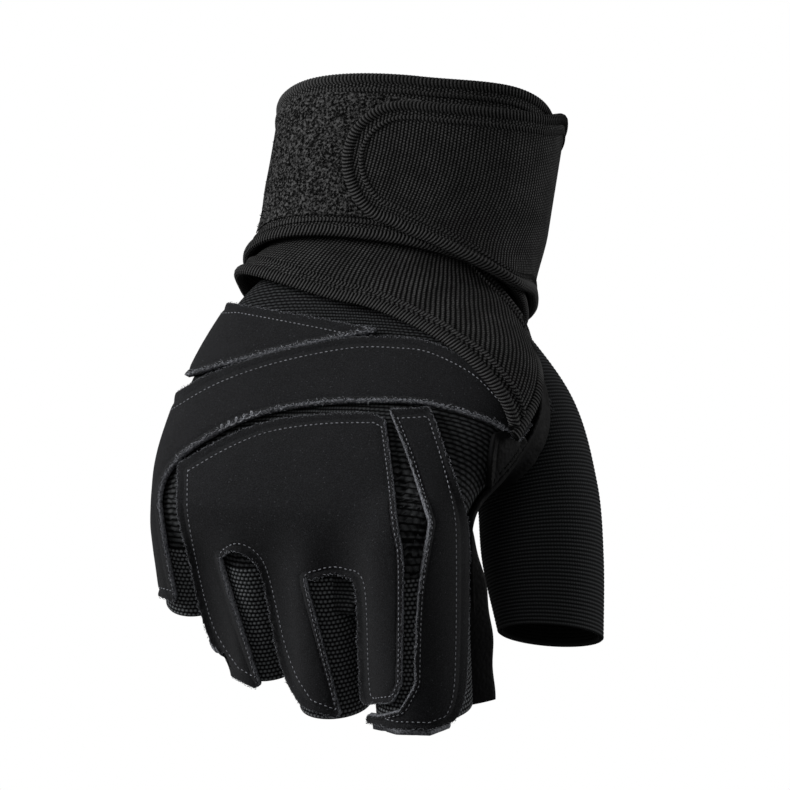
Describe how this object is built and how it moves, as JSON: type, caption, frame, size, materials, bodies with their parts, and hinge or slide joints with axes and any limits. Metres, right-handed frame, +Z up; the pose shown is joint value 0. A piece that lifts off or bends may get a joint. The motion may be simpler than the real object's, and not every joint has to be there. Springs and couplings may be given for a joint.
{
  "type": "weightlifting glove",
  "caption": "Half-finger knit glove for a right hand with suede-like panels, a synthetic leather palm and a long elastic wrist wrap, in its worn form.",
  "frame": {"origin": "centre of the upper opening of the cuff, where the forearm goes in", "axes": "+Z up along the wrist, +X to the thumb side, -Y out of the back of the hand"},
  "size_m": [0.1164, 0.1214, 0.167],
  "materials": {
    "knit": "matte ribbed and mesh knit",
    "suede": "matte suede-like microfibre with cut edges",
    "palm_leather": "matte fine-grained synthetic leather",
    "elastic_strap": "finely ribbed elastic webbing",
    "ribbed_binding": "ribbed elastic binding",
    "loop_pile": "fuzzy loop pile",
    "hook_tape": "fine hook tape"
  },
  "bodies": {
    "root": {"hand_knit": "knit", "little_sleeve": "knit", "ring_sleeve": "knit", "middle_sleeve": "knit", "index_sleeve": "knit", "thumb_sleeve": "knit", "palm_panel": "palm_leather", "wedge_panel": "suede", "band_panel": "suede", "knuckle_panel": "suede", "index_side_panel": "suede", "thumb_web_patch": "palm_leather", "wrist_wrap": "elastic_strap", "wrap_binding": "ribbed_binding", "wrap_seam": "ribbed_binding", "loop_patch": "loop_pile", "hook_patch": "hook_tape"}
  },
  "joints": []
}
